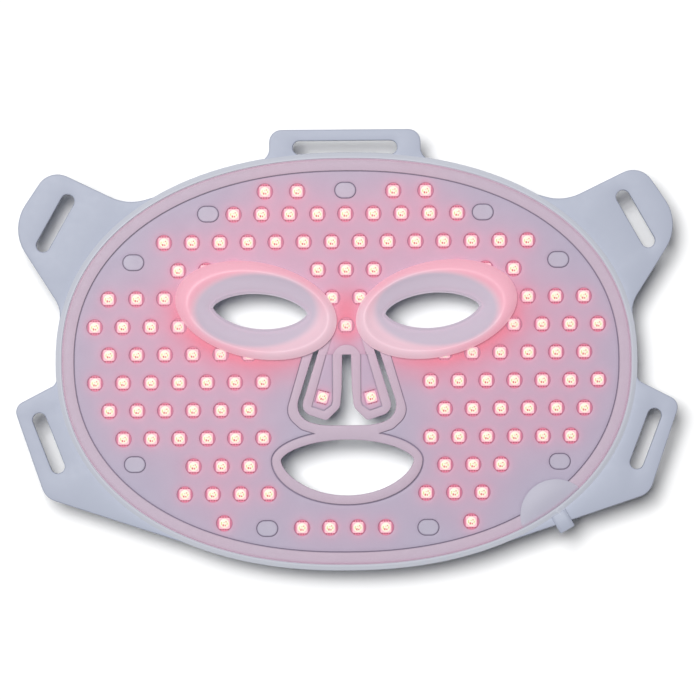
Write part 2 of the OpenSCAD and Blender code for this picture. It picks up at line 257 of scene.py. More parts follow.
def slab(loops, profile, grid=0, share=None):
    """A closed slab whose sides follow a profile. share(loop) scales how far each point steps in."""
    vertices, faces = [], []
    shares = [np.ones(len(loop)) if share is None else share(loop) for loop in loops]
    rings = []
    for inset, z in profile:
        ring = []
        for loop, part in zip(loops, shares):
            moved = loop - outward(loop) * (inset * part)[:, None]
            ring.append((len(vertices), moved))
            vertices += [(x, y, z) for x, y in moved]
        rings.append(ring)
    for below, above in zip(rings, rings[1:]):
        for (first, loop), (second, _) in zip(below, above):
            n = len(loop)
            for i in range(n):
                j = (i + 1) % n
                faces.append((first + i, first + j, second + j, second + i))
    for ring, z, step, up in ((rings[0], profile[0][1], 0, False), (rings[-1], profile[-1][1], grid, True)):
        numbers, points, regions = [], [], []
        for first, loop in ring:
            region = list(range(len(points), len(points) + len(loop)))
            regions.append(region if signed_area(loop) > 0 else region[::-1])
            points += [Vector(p) for p in loop]
            numbers += range(first, first + len(loop))
        inner = grid_points([loop for _, loop in ring], step)
        points += [Vector(p) for p in inner]
        numbers += range(len(vertices), len(vertices) + len(inner))
        vertices += [(x, y, z) for x, y in inner]
        out, _, triangles, origins, _, owners = delaunay_2d_cdt(points, [], regions, 1, 1e-6)
        index = []
        for place, origin in zip(out, origins):
            if origin:
                index.append(numbers[origin[0]])
            else:
                index.append(len(vertices))
                vertices.append((place[0], place[1], z))
        for (a, b, c), owner in zip(triangles, owners):
            face = (index[a], index[b], index[c])
            if len(owner) % 2 == 1 and len(set(face)) == 3:
                faces.append(face if up else face[::-1])
    return vertices, faces


def joined(parts):
    """One list of vertices and one of faces from several closed shells."""
    vertices, faces = [], []
    for more, shapes in parts:
        base = len(vertices)
        vertices += more
        faces += [tuple(base + i for i in face) for face in shapes]
    return vertices, faces


# Where the lights are

LIGHT_SIZE = 5.0
NOSE_TURN = math.radians(15)
CUP_FOOT_Z = 6.2


def light_centres(node):
    """The middle of each light in a node. Vertices within a light's size belong together."""
    points = node_arrays(node)[0][:, :2]
    groups = []
    for p in points:
        group = next((g for g in groups if np.abs(g[0] - p).max() < LIGHT_SIZE), None)
        if group is None:
            groups.append([p])
        else:
            group.append(p)
    return [(np.min(g, axis=0) + np.max(g, axis=0)) / 2 for g in groups]


CENTRES = {zone: light_centres("lenses_" + zone) for zone in ZONES}
NOSE = {side: light_centres("nose_lens_" + side)[0] for side in ("left", "right")}
ALL_LIGHTS = np.array([p for zone in ZONES for p in CENTRES[zone]] + list(NOSE.values()))
CUP_EDGES = {side: biggest(slice_loops("eye_cup_" + side, CUP_FOOT_Z)) for side in ("left", "right")}


# Painted light: how far the painted pink glow reaches round each light, over the brow and by the eyes
HALO_REACH = 3.8
WASH_REACH = 13.0
BROW_MIDDLE = (0.0, 46.0)
BROW_REACH = (44.0, 30.0)
EYE_REACH = (48.0, 32.0)


def glow_at(points):
    """Painted pink light from the mask's lights: a halo round each light, and a wash that is strongest by
    the eyes.
    """
    distance = np.linalg.norm(points[:, None, :2] - ALL_LIGHTS[None], axis=2)
    halo = np.exp(-((distance / HALO_REACH) ** 2)).sum(axis=1)
    wash = np.exp(-((distance / WASH_REACH) ** 2)).sum(axis=1) / 4.6
    brow = (points[:, :2] - BROW_MIDDLE) / BROW_REACH
    wash += 0.75 * np.exp(-np.sum(brow * brow, axis=1))
    for edge in CUP_EDGES.values():
        away = (points[:, :2] - edge.mean(0)) / EYE_REACH
        wash += 0.6 * np.exp(-np.sum(away * away, axis=1))
    return np.clip(halo, 0, 1), np.clip(wash, 0, 1)


def paint_glow(obj, extra=None, nearby=None):
    """Writes the painted glow on the vertices, as halo, wash and a channel of painted light and shade.
    Nearby takes the halo's place.
    """
    count = len(obj.data.vertices)
    points = np.empty(count * 3)
    obj.data.vertices.foreach_get("co", points)
    points = points.reshape(-1, 3) * METRE
    halo, wash = glow_at(points)
    if nearby:
        halo = nearby(points)
    painted_light_and_shade = np.zeros(count) if extra is None else np.clip(extra(points), 0, 1)
    colours = np.stack([halo, wash, painted_light_and_shade, np.ones(count)], axis=1).astype(np.float32)
    attribute = obj.data.color_attributes.new("glow", "FLOAT_COLOR", "POINT")
    attribute.data.foreach_set("color", colours.ravel())
    return obj


# Materials


# How light a surface is made, so that the studio light shows its colour as written
LIGHT_GAIN = 0.78


def screen(r, g, b):
    """A colour as it looks on a screen, 0 to 255, in linear values."""
    return tuple((c / 255) ** 2.2 for c in (r, g, b)) + (1.0,)


def paint(r, g, b):
    """The surface colour that looks so under the studio light."""
    return tuple(c * LIGHT_GAIN for c in screen(r, g, b)[:3]) + (1.0,)


def material(name, colour, roughness=0.5, **sockets):
    """A principled material, its node tree and its shader."""
    result = bpy.data.materials.new(name)
    result.use_nodes = True
    tree = result.node_tree
    shader = tree.nodes["Principled BSDF"]
    shader.inputs["Base Color"].default_value = colour
    shader.inputs["Roughness"].default_value = roughness
    for socket, value in sockets.items():
        shader.inputs[socket.replace("_", " ")].default_value = value
    result.diffuse_color = colour
    return result, tree, shader


def noise(tree, scale, detail=3.0):
    """Noise that is fixed to the object, with features about a metre over the scale wide."""
    place = tree.nodes.new("ShaderNodeTexCoord")
    texture = tree.nodes.new("ShaderNodeTexNoise")
    texture.inputs["Scale"].default_value = scale
    texture.inputs["Detail"].default_value = detail
    tree.links.new(place.outputs["Object"], texture.inputs["Vector"])
    return texture.outputs["Fac"]


def ranged(tree, value, low, high):
    """A 0 to 1 value spread over another range."""
    node = tree.nodes.new("ShaderNodeMapRange")
    node.inputs["To Min"].default_value = low
    node.inputs["To Max"].default_value = high
    tree.links.new(value, node.inputs["Value"])
    return node.outputs["Result"]


def maths(tree, operation, a, b):
    """A sum or product of two values, kept between 0 and 1."""
    node = tree.nodes.new("ShaderNodeMath")
    node.operation = operation
    node.use_clamp = True
    for socket, value in zip(node.inputs, (a, b)):
        if isinstance(value, float):
            socket.default_value = value
        else:
            tree.links.new(value, socket)
    return node.outputs["Value"]


def mixed(tree, factor, a, b):
    """Colour a where the factor is 0 and b where it is 1."""
    node = tree.nodes.new("ShaderNodeMix")
    node.data_type = "RGBA"
    tree.links.new(factor, node.inputs["Factor"])
    # Inputs 6 and 7 and output 2 are the node's colour sockets
    for socket, value in ((node.inputs[6], a), (node.inputs[7], b)):
        if isinstance(value, tuple):
            socket.default_value = value
        else:
            tree.links.new(value, socket)
    return node.outputs[2]


def grained(tree, shader, scale, depth, roughness=None):
    """Fine moulding grain: bump, and roughness between two values."""
    bump = tree.nodes.new("ShaderNodeBump")
    bump.inputs["Strength"].default_value = 0.25
    bump.inputs["Distance"].default_value = depth / METRE
    tree.links.new(noise(tree, scale), bump.inputs["Height"])
    tree.links.new(bump.outputs["Normal"], shader.inputs["Normal"])
    if roughness:
        tree.links.new(ranged(tree, noise(tree, scale / 8), *roughness), shader.inputs["Roughness"])


def glow_channels(tree):
    """The halo, wash and painted light and shade values that paint_glow wrote."""
    attribute = tree.nodes.new("ShaderNodeVertexColor")
    attribute.layer_name = "glow"
    split = tree.nodes.new("ShaderNodeSeparateColor")
    tree.links.new(attribute.outputs["Color"], split.inputs["Color"])
    return split.outputs["Red"], split.outputs["Green"], split.outputs["Blue"]


def scaled(tree, colour, factor):
    """A colour made darker by a factor."""
    node = tree.nodes.new("ShaderNodeVectorMath")
    node.operation = "SCALE"
    node.inputs["Scale"].default_value = factor
    tree.links.new(colour, node.inputs[0])
    return node.outputs["Vector"]


def glowing(name, plain, pink, hot, halo, wash, lit=0.0, **sockets):
    """A surface with painted light: pink where the halo and wash of the lights reach, and the hot colour
    where the third channel is set, which is painted hot light on some surfaces and painted shade on others.
    Lit is how far it glows by itself, a painted glow.
    """
    result, tree, shader = material(name, plain, **sockets)
    near, far, painted_light_and_shade = glow_channels(tree)
    drift = ranged(tree, noise(tree, 45.0, 2.0), 0.75, 1.25)
    amount = maths(tree, "ADD", maths(tree, "MULTIPLY", near, halo), maths(tree, "MULTIPLY", far, wash))
    amount = maths(tree, "MULTIPLY", amount, drift)
    colour = mixed(tree, painted_light_and_shade, mixed(tree, amount, plain, pink), hot)
    tree.links.new(scaled(tree, colour, LIGHT_GAIN * (1 - lit)), shader.inputs["Base Color"])
    if lit:
        tree.links.new(colour, shader.inputs["Emission Color"])
        shader.inputs["Emission Strength"].default_value = lit
    return result, tree, shader


def cover_material(name, colour, lit=0.0):
    """Blue-grey silicone. Lit is how far it glows by itself, a painted glow that softens its shaded side.
    """
    share = (1 - lit) ** 0.45  # what is left for the studio light, on the screen's scale
    plain = paint(*(c * share for c in colour))
    result, tree, shader = material(name, plain, 0.45, Specular_IOR_Level=0.3)
    drift = ranged(tree, noise(tree, 18.0, 2.0), 0.0, 0.35)
    lighter = paint(*((c + 7) * share for c in colour))
    tree.links.new(mixed(tree, drift, plain, lighter), shader.inputs["Base Color"])
    shader.inputs["Emission Color"].default_value = screen(*colour)
    shader.inputs["Emission Strength"].default_value = lit
    grained(tree, shader, 2600.0, 0.02, (0.42, 0.55))
    return result


def ledge_material():
    """The cover's silicone under the clear pad, with painted pink light where light from the circuit's edge
    reaches it.
    """
    result, tree, shader = glowing(
        "ledge_silicone", screen(200, 178, 197), screen(222, 172, 192), screen(238, 150, 176), 0.4, 0.6
    )
    grained(tree, shader, 2600.0, 0.02, (0.45, 0.6))
    return result


def reflector_material():
    # Painted light: the lilac sheet turns pink round the lights and hot where the third channel is set, and
    # glows a little by itself
    result, tree, shader = glowing(
        "reflector", screen(178, 169, 193), screen(240, 156, 186), screen(248, 86, 120), 0.85, 0.5, 0.25
    )
    grained(tree, shader, 900.0, 0.03, (0.5, 0.65))
    return result


def pad_material():
    """Nearly clear silicone, with painted pink light on its outer edge and round the lights."""
    result, tree, shader = glowing(
        "pad_silicone", screen(200, 192, 212), screen(232, 172, 198), screen(238, 140, 168), 0.6, 0.5, 0.2
    )
    grained(tree, shader, 1500.0, 0.015, (0.3, 0.42))
    painted_light_and_shade = glow_channels(tree)[2]
    # The pad is made less clear where the painted light is
    tree.links.new(ranged(tree, painted_light_and_shade, 0.08, 0.65), shader.inputs["Alpha"])
    return result


def cup_material():
    """Milky silicone: a lilac bowl, a pale rim and painted pink light where the lights shine through the
    rim. It glows by itself, a painted glow that softens the shading of the rim.
    """
    result, tree, shader = glowing(
        "cup_silicone", screen(210, 195, 212), screen(244, 216, 228), screen(253, 186, 204), 1.0, 0.0, 0.62,
        Subsurface_Weight=0.3, Subsurface_Scale=0.004, Specular_IOR_Level=0.2,
    )
    shader.inputs["Subsurface Radius"].default_value = (1.0, 0.45, 0.5)
    grained(tree, shader, 1800.0, 0.02, (0.32, 0.44))
    return result


def post_material():
    """Milky silicone with painted pink light, and a painted dark line of shade in the gap where each post
    meets the reflector sheet.
    """
    result, tree, shader = glowing(
        "post_silicone", screen(184, 179, 200), screen(218, 168, 192), screen(120, 104, 136), 0.5, 0.4
    )
    grained(tree, shader, 1500.0, 0.02, (0.4, 0.55))
    return result


def circuit_material(name, dark, track):
    """Coverlay over copper tracks."""
    result, tree, shader = material(name, dark, 0.5)
    wave = tree.nodes.new("ShaderNodeTexWave")
    wave.inputs["Scale"].default_value = 260.0
    wave.inputs["Distortion"].default_value = 1.5
    place = tree.nodes.new("ShaderNodeTexCoord")
    tree.links.new(place.outputs["Object"], wave.inputs["Vector"])
    tracks = ranged(tree, wave.outputs["Fac"], 0.0, 0.3)
    tree.links.new(mixed(tree, tracks, dark, track), shader.inputs["Base Color"])
    return result


def window_material():
    """The white solder mask inside a window, painted rose with the light of its lamp, and painted maroon
    shade round the package and the edge. It also glows by itself.
    """
    result, tree, shader = glowing(
        "window_rose", screen(232, 104, 142), screen(228, 86, 128), screen(160, 56, 102), 0.4, 0.0, 0.5
    )
    grained(tree, shader, 700.0, 0.02)
    return result


def shining(name, colour, other, scale, base=0.2, strength=0.9):
    """A lit surface, which shows its own colour more than the studio light."""
    result, tree, shader = material(name, colour, 0.35, Specular_IOR_Level=0.2)
    blend = mixed(tree, noise(tree, scale), colour, other)
    tree.links.new(scaled(tree, blend, base), shader.inputs["Base Color"])
    tree.links.new(blend, shader.inputs["Emission Color"])
    shader.inputs["Emission Strength"].default_value = strength
    return result


def tinted(name, colour, other, roughness, scale=600.0, **sockets):
    """A plain moulded or plated finish with a little variation."""
    result, tree, shader = material(name, colour, roughness, **sockets)
    tree.links.new(mixed(tree, noise(tree, scale), colour, other), shader.inputs["Base Color"])
    grained(tree, shader, scale, 0.01)
    return result


COVER = cover_material("cover_silicone", (180, 186, 204))
# The bead's lighter colour is a painted highlight along it, and its glow is painted light that lightens its
# shaded slope
BEAD = cover_material("cover_bead", (203, 206, 217), 0.5)
LEDGE = ledge_material()
SEAM = tinted("bonding_seam", paint(112, 92, 128), paint(124, 104, 138), 0.5)
REFLECTOR = reflector_material()
PAD = pad_material()
CUP = cup_material()
POST = post_material()
CIRCUIT = circuit_material("flexible_circuit", paint(104, 84, 122), paint(122, 92, 116))
TRAY = circuit_material("flap_circuit", paint(196, 138, 176), paint(206, 150, 182))
WINDOW = window_material()
HOUSING = shining("light_housing", screen(252, 180, 194), screen(255, 198, 208), 500.0)
EMITTER = shining("light_emitter", screen(255, 252, 232), screen(255, 246, 212), 900.0, 0.1, 0.92)
# The leads glow red by themselves: painted light from the lamps beside them
LEAD = shining("light_lead", screen(186, 28, 70), screen(158, 22, 60), 500.0, 0.3, 0.5)
CHIP_RED = shining("chip_red", screen(216, 44, 48), screen(230, 80, 72), 600.0)
CHIP_GREEN = shining("chip_green", screen(192, 204, 92), screen(218, 220, 128), 600.0)
PATCH = tinted("patch_film", paint(196, 194, 212), paint(202, 200, 217), 0.5, 120.0, Alpha=0.88)
BOARD = tinted("board", paint(226, 230, 234), paint(214, 220, 226), 0.5)
RESISTOR = tinted("resistor", paint(52, 52, 56), paint(66, 64, 68), 0.5)
CONNECTOR = tinted("connector", paint(236, 230, 214), paint(226, 218, 200), 0.5)
SOCKET = tinted("socket_plastic", paint(40, 41, 45), paint(52, 53, 58), 0.45)
BRASS = tinted("contact_brass", paint(214, 176, 98), paint(200, 160, 84), 0.3, Metallic=1.0)
STEEL = tinted("spring_steel", paint(196, 198, 202), paint(180, 182, 188), 0.3, Metallic=1.0)
WIRE = tinted("lead_wire", paint(160, 40, 42), paint(140, 30, 34), 0.5)


# Ring shapes

RING_STEPS = 32


def square_ring(half, corner_power, count):
    """Points of a square with soft corners, which can be joined to a circle with as many points."""
    angle = 2 * math.pi * (np.arange(count) + 0.5) / count
    c, s = np.cos(angle), np.sin(angle)
    reach = (np.abs(c) ** corner_power + np.abs(s) ** corner_power) ** (-1 / corner_power)
    return np.stack([c * reach, s * reach], axis=1) * half


def circle_ring(radius, count):
    """Points of a circle, in step with those of square_ring."""
    angle = 2 * math.pi * (np.arange(count) + 0.5) / count
    return np.stack([np.cos(angle), np.sin(angle)], axis=1) * radius


def ring_body(rings):
    """A closed body through rings of points, with a flat first and last face."""
    vertices = [p for ring in rings for p in ring]
    faces = []
    count = len(rings[0])
    for r in range(len(rings) - 1):
        for i in range(count):
            j = (i + 1) % count
            faces.append((r * count + i, r * count + j, (r + 1) * count + j, (r + 1) * count + i))
    faces.append(tuple(reversed(range(count))))
    faces.append(tuple(range((len(rings) - 1) * count, len(rings) * count)))
    return vertices, faces


def lofted(levels):
    """A closed body through level rings, given as (points, z)."""
    return ring_body([[(x, y, z) for x, y in ring] for ring, z in levels])


# Shared steps


def dressed(obj, body, replaced):
    """Says which body a piece rides on, and which CAD nodes it stands for."""
    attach(obj, body)
    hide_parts(*replaced)
    return obj


def applied(obj):
    """Turns the modifiers' result into the mesh."""
    bpy.context.view_layer.update()
    result = bpy.data.meshes.new_from_object(obj.evaluated_get(bpy.context.evaluated_depsgraph_get()))
    obj.modifiers.clear()
    obj.data = result
    return obj


def slab_object(name, loops, profile, materials, grid=0, share=None):
    """A slab as an object of its own."""
    return mesh(name, *slab(loops, profile, grid, share), materials)


def at_root(loop):
    """Rings don't step in along the nose root line, where the flaps join the mask."""
    on_line = np.abs(loop[:, 1] - ROOT_Y) < 0.02
    near = np.abs(loop[:, 0]) < 14
    return np.where(on_line & near, 0.0, 1.0)


def moved_in(loop, by):
    """An outline moved into its material."""
    return loop - outward(loop) * by


# Back cover

PLUG = [m for m in frame["record"]["mounts"] if m["name"] == "plug_seat"][0]
PLUG_OUT = np.array(PLUG["axis"])
PLUG_DEPTH = PLUG["dims"]["length_mm"]
PLUG_AT = np.array(PLUG["pos_m"]) * METRE + PLUG_OUT * PLUG_DEPTH / 2
PLUG_SIDE = np.array([-PLUG_OUT[1], PLUG_OUT[0], 0])
BOSS_HALF = 3.7
BOSS_REACH = 4.3  # from its mouth to the cover's outline
BOSS_START = 8.6  # from its mouth to its root under the bead
BOSS_TOP = 4.8
BOSS_ROOT_TOP = 4.4
FLOOR_CUT = 0.4
LEDGE_CUT = 2.95
BEAD_CUT = 4.35

# The bead's side as (distance in, height): a slope that eases into the tabs and rounds over at the top
BEAD_PROFILE = [
    (0, 1.9), (0, 2.62), (0.15, 2.9), (0.5, 3.2), (0.9, 3.6),
    (1.3, 4.0), (1.7, 4.35), (2.1, 4.55), (2.4, 4.6),
]


def without_boss(loop, back=-0.2, beside=0.1):
    """An outline with the cable inlet's boss taken off, and a margin behind and beside it."""
    offset = loop - PLUG_AT[:2]
    along, across = offset @ PLUG_OUT[:2], offset @ PLUG_SIDE[:2]
    on_boss = (along > -BOSS_REACH - back) & (np.abs(across) < BOSS_HALF + beside)
    return loop[~on_boss]


def boss_ring(half_width, low, high, round_power, along):
    """A section of the boss, as points around the plug's axis, at one place along it."""
    shape = square_ring(1.0, round_power, RING_STEPS)
    middle, half_height = (low + high) / 2, (high - low) / 2
    at = PLUG_AT + PLUG_OUT * along
    points = at + np.outer(shape[:, 0] * half_width, PLUG_SIDE)
    points[:, 2] = middle + shape[:, 1] * half_height
    return [tuple(p) for p in points]


def boss_shape():
    """The moulded block around the plug's seat, open at its front."""
    radius = PLUG["dims"]["r_mm"]
    depth = PLUG_DEPTH + 0.05
    z = PLUG_AT[2]
    rings = [boss_ring(BOSS_HALF, 0.02, BOSS_ROOT_TOP, 12, -BOSS_START)]
    rings.append(boss_ring(BOSS_HALF, 0.02, BOSS_TOP, 12, -BOSS_START + 2.5))
    rings.append(boss_ring(BOSS_HALF, 0.02, BOSS_TOP, 12, -0.5))
    rings.append(boss_ring(BOSS_HALF - 0.15, 0.15, BOSS_TOP - 0.15, 8, -0.12))
    rings.append(boss_ring(BOSS_HALF - 0.5, 0.5, BOSS_TOP - 0.4, 6, 0))
    for r, along in ((radius + 0.15, 0), (radius, -0.15), (radius, -depth)):
        rings.append(boss_ring(r, z - r, z + r, 2, along))
    return ring_body(rings)


def make_back_cover():
    """The floor, the strap tabs, the ledge under the pad, the bead and the cable inlet's boss."""
    outline = [without_boss(loop) for loop in slice_loops("back_cover", FLOOR_CUT)]
    ledge = slice_loops("back_cover", LEDGE_CUT)
    bead = [without_boss(loop, back=4.0, beside=2.0) for loop in slice_loops("back_cover", BEAD_CUT)]
    oval, silhouette = biggest(bead), biggest(outline)
    slots = [loop for loop in outline if loop is not silhouette and not inside(loop.mean(0), oval)]
    inner_edge = moved_in(oval, 2.0)[::-1]
    recesses = [loop for loop in ledge if loop is not biggest(ledge)]

    def steep_inside(loop):
        """The bead's inner side is nearly upright."""
        return np.full(len(loop), 1.0 if signed_area(loop) > 0 else 0.12)

    floor = slab(outline, rounded_profile(0, FLOOR_TOP, 0.5, 0), 0, at_root)
    tabs = slab([silhouette, *slots, inner_edge], rounded_profile(FLOOR_TOP, TAB_TOP, 0, 0.6))
    rim = slab([moved_in(loop, 0.12) for loop in bead], BEAD_PROFILE, 0, steep_inside)
    shelf_profile = rounded_profile(FLOOR_TOP, PAD_LOW - 0.02, 0, 0.25)
    shelf = slab([moved_in(oval, 1.4), *recesses], shelf_profile, 0, at_root)
    vertices, faces = joined([floor, tabs, boss_shape(), rim, shelf])
    shelf_from = len(faces) - len(shelf[1])
    rim_from = shelf_from - len(rim[1])
    finishes = [COVER, LEDGE, BEAD, SEAM]
    numbers = []
    for i, face in enumerate(faces):
        finish = COVER
        if i >= shelf_from:
            finish = LEDGE
        elif i >= rim_from:
            finish = BEAD
        elif i < len(floor[1]) and min(vertices[k][2] for k in face) > FLOOR_TOP - 0.01:
            finish = SEAM
        numbers.append(finishes.index(finish))
    obj = mesh("back_cover_detail", vertices, faces, finishes, numbers)
    smooth_by_angle(obj)
    # Painted pink light from the lights, shown on the ledge
    paint_glow(obj)
    return dressed(obj, "mask", ["back_cover"])


# Layers over the cover


def painted_hot_glow(points):
    """Painted light: the strong pink glow between the eyes and along the lower outer edge of each eye cup.
    """
    x, y = points[:, 0], points[:, 1]
    past_nose = np.maximum(np.abs(y - 15.0) - 3.0, 0)
    hot = 0.95 * np.exp(-((x / 7.0) ** 2) - (past_nose / 9.0) ** 2)
    for edge in CUP_EDGES.values():
        middle = edge.mean(0)
        away = ring_distance(points, [edge])
        outer = (np.abs(x) - abs(middle[0])) / 36.0
        low = (middle[1] - y) / 20.0
        facing = np.clip(0.75 * low + 0.6 * outer, 0, 1)
        same_side = np.sign(x) == np.sign(middle[0])
        spread = 0.55 * np.exp(-((away / 3.2) ** 2)) + 0.6 * np.exp(-((away / 9.0) ** 2))
        hot += np.where(same_side, facing * spread, 0)
    return hot


def make_reflector():
    """The lilac sheet with its windows."""
    loops = slice_loops("reflector_sheet", (BOARD_TOP + SHEET_TOP) / 2, 0.6)
    profile = rounded_profile(BOARD_TOP, SHEET_TOP, 0, 0.15, 2)
    obj = slab_object("reflector_detail", loops, profile, [REFLECTOR], 1.4)
    smooth_by_angle(obj, 50)
    # Painted light: the pink glow round the lights and the hot glow by the nose and the cups
    paint_glow(obj, painted_hot_glow)
    return dressed(obj, "mask", ["reflector_sheet"])


def make_pad():
    """The clear pad. Its rounded edge carries a painted line of pink light."""
    loops = slice_loops("face_pad", (PAD_LOW + PAD_TOP) / 2)
    outer = biggest(loops)
    top = PAD_TOP - 0.05
    profile = rounded_profile(PAD_LOW, top, 0, 0.5) + [(1.3, top), (2.3, top)]

    def gentle_outside(loop):
        """The pad's outer edge is rounder than the edges of its openings."""
        return at_root(loop) * (1.0 if loop is outer else 0.4)

    obj = slab_object("face_pad_detail", loops, profile, [PAD], 1.6, gentle_outside)
    smooth_by_angle(obj, 50)

    # Painted pink light: a line along the outer edge, and some of the hot glow
    def painted_light_and_shade(points):
        edge = np.exp(-(ring_distance(points, [outer]) ** 2))
        upper = points[:, 2] > PAD_LOW + 0.1
        return upper * (0.3 * painted_hot_glow(points) + 0.5 * edge)

    paint_glow(obj, painted_light_and_shade)
    return dressed(obj, "mask", ["face_pad"])


def make_posts():
    """The nine long-round posts that bond the cover to the pad."""
    loops = slice_loops("bonding_posts", 2.0, 0.5)
    profile = rounded_profile(1.2, PAD_LOW - 0.05, 0, 0.4) + [(0.75, PAD_LOW - 0.05)]
    obj = slab_object("bonding_posts_detail", loops, profile, [POST], 1.2)
    smooth_by_angle(obj, 50)
    # Painted shade: a dark line in the gap round each post
    paint_glow(obj, lambda points: 1.1 * np.exp(-((ring_distance(points, loops) / 0.35) ** 2)))
    return dressed(obj, "mask", ["bonding_posts"])


def make_patch():
    """The film over the inlet, which laps the reflector sheet by a hair."""
    low, high = (corner.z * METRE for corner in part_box("inlet_patch"))
    lap = [moved_in(loop, -0.35) for loop in slice_loops("inlet_patch", (low + high) / 2)]
    obj = slab_object("inlet_patch_detail", lap, rounded_profile(low, high, 0, 0.1, 2), [PATCH])
    smooth_by_angle(obj)
    return dressed(obj, "mask", ["inlet_patch"])


# Lights


def box_shape(x, y, half_x, half_y, low, high, shrink=0.8):
    """A small block whose top is drawn in."""
    corners = np.array([(-half_x, -half_y), (half_x, -half_y), (half_x, half_y), (-half_x, half_y)])
    middle = low + (high - low) * 0.6
    at = np.array([x, y])
    return lofted([(at + corners, low), (at + corners, middle), (at + corners * shrink, high)])


LIGHT_HALF = LIGHT_SIZE / 2
WELL_R = 2.18
WELL_DEPTH = 0.7
WINDOW_R = 3.7
LEAD_PITCH = 1.15
LEAD_OUT = 0.27


def window_floor():
    """The lit circuit that shows in the round window."""
    low, high = BOARD_TOP + 0.01, BOARD_TOP + 0.05
    outer, inner = circle_ring(WINDOW_R, RING_STEPS), circle_ring(2.2, RING_STEPS)
    middle = [(circle_ring(r, RING_STEPS), high) for r in (3.45, 3.15, 2.75)]
    return lofted([(inner, low), (outer, low), (outer, high), *middle, (inner, high)])


def housing_shape():
    """The square package with its round well."""
    top = LIGHT_TOP - 0.02
    outline = square_ring(LIGHT_HALF, 9, RING_STEPS)
    lip = square_ring(LIGHT_HALF - 0.14, 8, RING_STEPS)
    return lofted([
        (outline, BOARD_TOP + 0.06), (outline, top - 0.14), (lip, top),
        (circle_ring(WELL_R + 0.12, RING_STEPS), top), (circle_ring(WELL_R, RING_STEPS), top - 0.1),
        (circle_ring(WELL_R - 0.25, RING_STEPS), top - WELL_DEPTH),
    ])


def lens_shape():
    """Clear resin that fills the well, slightly domed."""
    low = LIGHT_TOP - WELL_DEPTH
    brim = low + 0.42
    rings = [(circle_ring(WELL_R - 0.3, RING_STEPS), low), (circle_ring(WELL_R - 0.06, RING_STEPS), brim)]
    for share in (0.85, 0.6, 0.3):
        rings.append((circle_ring(WELL_R * share, RING_STEPS), brim + 0.16 * (1 - share * share)))
    return lofted(rings)


def arc_shape(radius, start, end, width):
    """A short raised arc of phosphor at the lens's top."""
    low, high = LIGHT_TOP - 0.2, LIGHT_TOP - 0.1
    vertices, faces = [], []
    steps = 5
    for k in range(steps + 1):
        angle = math.radians(start + (end - start) * k / steps)
        c, s = math.cos(angle), math.sin(angle)
        inner, outer = radius - width, radius + width
        for r, z in ((inner, low), (outer, low), (outer, high), (inner, high)):
            vertices.append((r * c, r * s, z))
    for k in range(steps):
        for i in range(4):
            j = (i + 1) % 4
            faces.append((k * 4 + i, k * 4 + j, k * 4 + 4 + j, k * 4 + 4 + i))
    faces.append((3, 2, 1, 0))
    faces.append(tuple(steps * 4 + i for i in range(4)))
    return vertices, faces


def lead_shapes():
    """Four solder leads along each of two sides."""
    result = []
    for side in (-1, 1):
        for i in (-1.5, -0.5, 0.5, 1.5):
            at = (i * LEAD_PITCH, side * (LIGHT_HALF + LEAD_OUT))
            result.append(box_shape(*at, 0.3, 0.36, BOARD_TOP + 0.06, BOARD_TOP + 0.8))
    return result


def chip_shapes():
    """Red chips and green arcs in the resin, with their material numbers."""
    low, high = LIGHT_TOP - 0.22, LIGHT_TOP - 0.05
    red = [
        box_shape(-0.5, -0.85, 0.3, 0.46, low, high), box_shape(0.4, -0.95, 0.26, 0.34, low, high),
        box_shape(0.75, 0.75, 0.24, 0.24, low, high),
    ]
    green = [arc_shape(1.3, 150, 215, 0.2), arc_shape(1.3, -30, 15, 0.2), arc_shape(0.5, 60, 140, 0.16)]
    return [(shape, 1) for shape in red] + [(shape, 2) for shape in green]


def placed(shapes, centres, turn):
    """Copies of (shape, material number) pairs at every centre."""
    c, s = math.cos(turn), math.sin(turn)
    parts, numbers = [], []
    for cx, cy in centres:
        for (vertices, faces), number in shapes:
            parts.append(([(cx + x * c - y * s, cy + x * s + y * c, z) for x, y, z in vertices], faces))
            numbers += [number] * len(faces)
    return *joined(parts), numbers


def make_lights(name, centres, body, nodes, turn=0.0, window=True):
    """The packages and lenses of one zone, in place of its two CAD nodes."""
    packages = [(housing_shape(), 1)] + [(shape, 2) for shape in lead_shapes()]
    if window:
        packages.append((window_floor(), 0))
    vertices, faces, numbers = placed(packages, centres, turn)
    package = mesh("light_packages_" + name, vertices, faces, [WINDOW, HOUSING, LEAD], numbers)
    smooth_by_angle(package, 40)
    centres = np.array(centres)

    def beside(points):
        """Painted shade round the foot of the package, at its sides and along the window's edge."""
        offset = points[:, None, :2] - centres[None]
        nearest = np.argmin(np.linalg.norm(offset, axis=2), axis=1)
        offset = np.abs(offset[np.arange(len(points)), nearest])
        from_middle = np.hypot(offset[:, 0], offset[:, 1])
        edge = 0.75 * np.exp(-(((from_middle - WINDOW_R) / 0.3) ** 2))
        return edge + 0.8 * (offset[:, 0] - 2.5) + 0.35 * (offset.max(axis=1) < 2.9)

    paint_glow(package, beside)
    dressed(package, body, [nodes[0]])
    shapes = [(lens_shape(), 0)] + chip_shapes()
    vertices, faces, numbers = placed(shapes, centres, turn)
    lens = mesh("light_lenses_" + name, vertices, faces, [EMITTER, CHIP_RED, CHIP_GREEN], numbers)
    smooth_by_angle(lens, 40)
    dressed(lens, body, [nodes[1]])


# Eye cups

CUP_HALF = (37.0, 22.0)


